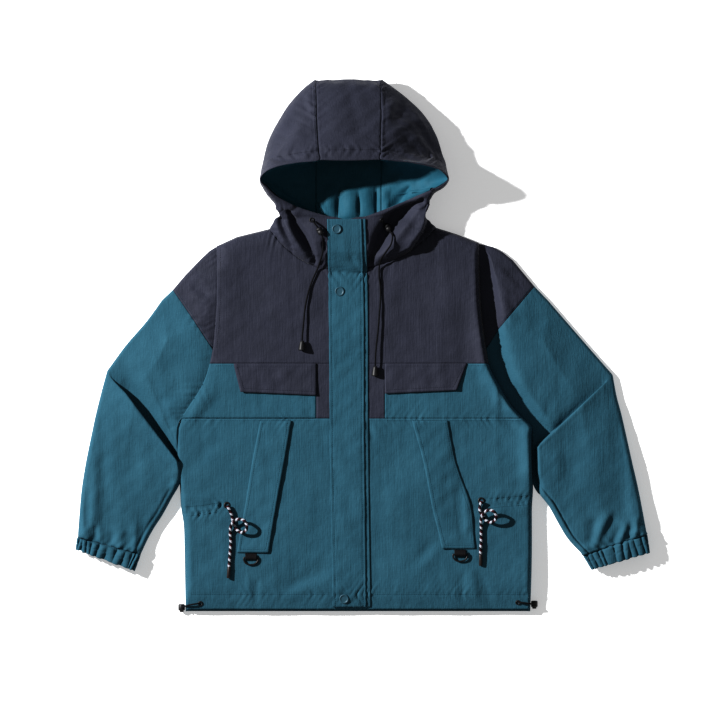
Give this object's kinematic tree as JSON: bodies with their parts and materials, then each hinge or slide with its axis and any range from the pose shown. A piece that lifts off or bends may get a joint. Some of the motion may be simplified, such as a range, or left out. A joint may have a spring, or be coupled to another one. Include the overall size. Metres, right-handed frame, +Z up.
{
  "type": "hooded field parka",
  "caption": "Hooded two-tone shell parka lying flat: yoke, storm placket, slanted pocket flaps, elastic cuffs, drawcords and a lined hood that keeps its hollow.",
  "frame": {"origin": "middle of the underside of the garment without its cords, on the surface it lies on", "axes": "+Z up from that surface, +Y from hem to hood, +X towards the wearer's left sleeve"},
  "size_m": [1.0138, 0.9423, 0.1117],
  "materials": {
    "teal_cloth": "fine plain weave, matt",
    "navy_cloth": "fine plain weave, matt",
    "lining": "smooth taffeta",
    "teal_snap": "satin enamel",
    "black_metal": "satin black",
    "black_plastic": "satin moulded",
    "webbing": "ribbed webbing",
    "patterned_cord": "braided, light with dark and maroon flecks",
    "black_cord": "braided elastic"
  },
  "bodies": {
    "root": {"back_body": "teal_cloth", "placket": "teal_cloth", "placket_under": "teal_cloth", "front_lower_left": "teal_cloth", "front_lower_right": "teal_cloth", "front_mid_left": "teal_cloth", "front_mid_right": "teal_cloth", "pocket_flap_left": "teal_cloth", "pocket_flap_right": "teal_cloth", "sleeve_left": "teal_cloth", "sleeve_right": "teal_cloth", "cuff_left": "teal_cloth", "cuff_right": "teal_cloth", "back_yoke": "navy_cloth", "hood_centre": "navy_cloth", "front_yoke_left": "navy_cloth", "front_yoke_right": "navy_cloth", "front_band_left": "navy_cloth", "front_band_right": "navy_cloth", "chest_flap_left": "navy_cloth", "chest_flap_right": "navy_cloth", "hood_side_left": "navy_cloth", "hood_side_right": "navy_cloth", "sleeve_cap_left": "navy_cloth", "sleeve_cap_right": "navy_cloth", "lining_centre": "lining", "lining_left": "lining", "lining_right": "lining", "snap_1": "teal_snap", "snap_2": "teal_snap", "snap_3": "teal_snap", "dring_tab_left": "webbing", "dring_tab_right": "webbing", "waist_cord_left": "patterned_cord", "waist_cord_right": "patterned_cord", "hood_cord_left": "black_cord", "hood_cord_right": "black_cord", "hem_cord_left": "black_cord", "hem_cord_right": "black_cord", "waist_eyelet_left": "black_plastic", "waist_eyelet_right": "black_plastic", "hood_eyelet_left": "black_plastic", "hood_eyelet_right": "black_plastic", "hem_eyelet_left": "black_plastic", "hem_eyelet_right": "black_plastic", "waist_tip_left": "black_plastic", "waist_tip_right": "black_plastic", "cord_lock_left": "black_plastic", "cord_lock_right": "black_plastic", "bell_left": "black_plastic", "bell_right": "black_plastic", "hem_lock_left": "black_plastic", "hem_lock_right": "black_plastic"},
    "dring_left": {"dring_left": "black_metal"},
    "dring_right": {"dring_right": "black_metal"}
  },
  "joints": [
    {"name": "dring_left_swing", "type": "hinge", "parent": "root", "child": "dring_left", "pos_m": [-0.1975, -0.37556, 0.0258], "axis": [-1, 0, 0], "range_deg": [0, 150]},
    {"name": "dring_right_swing", "type": "hinge", "parent": "root", "child": "dring_right", "pos_m": [0.172, -0.36956, 0.0258], "axis": [-1, 0, 0], "range_deg": [0, 150]}
  ]
}
